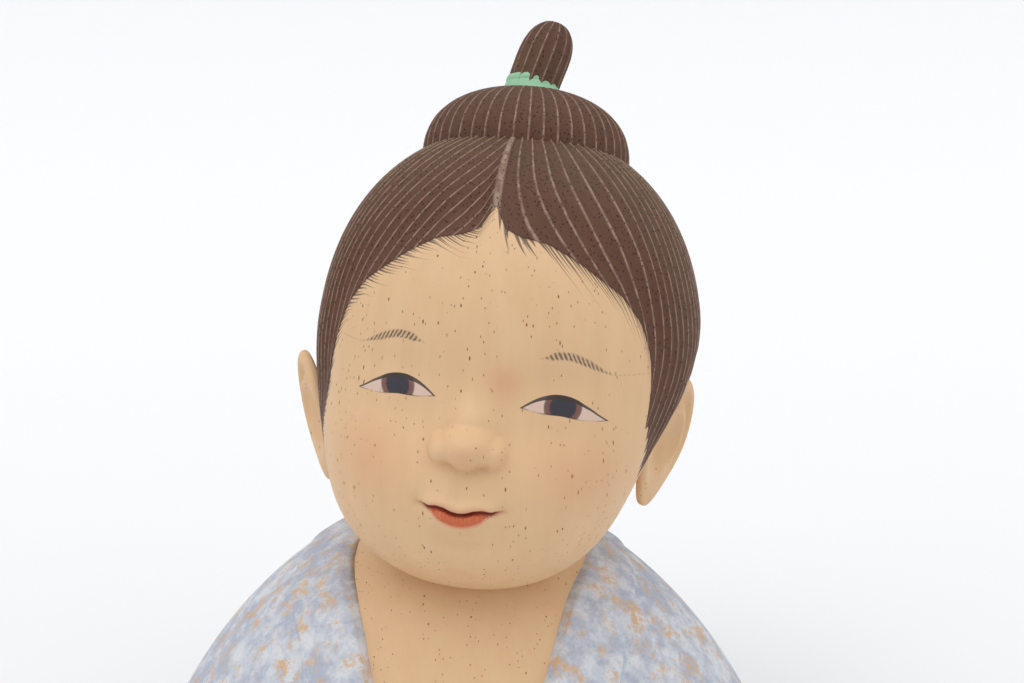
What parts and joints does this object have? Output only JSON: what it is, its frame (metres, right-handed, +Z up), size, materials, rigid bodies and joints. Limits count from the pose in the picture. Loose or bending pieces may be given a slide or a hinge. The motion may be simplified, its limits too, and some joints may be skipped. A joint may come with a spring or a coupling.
{
  "type": "carved wooden doll bust",
  "caption": "Carved and painted wooden bust of a small child: bowed head with combed hair, a bun and a tied topknot, over a patterned robe with crossed collar, flat below.",
  "frame": {"origin": "on the flat underside, below the neck's foot", "axes": "+Z up from the underside, the doll faces -Y, +X at the right of someone who looks at its face"},
  "size_m": [0.1572, 0.1022, 0.1817],
  "materials": {
    "skin": "bare waxed wood, satin",
    "hair": "brown stained gouge-cut wood, satin",
    "tie": "matt mint green paint on wood",
    "robe": "matt pale grey-blue paint with ochre patches on wood"
  },
  "bodies": {
    "root": {"carved_doll": "skin"}
  },
  "joints": []
}
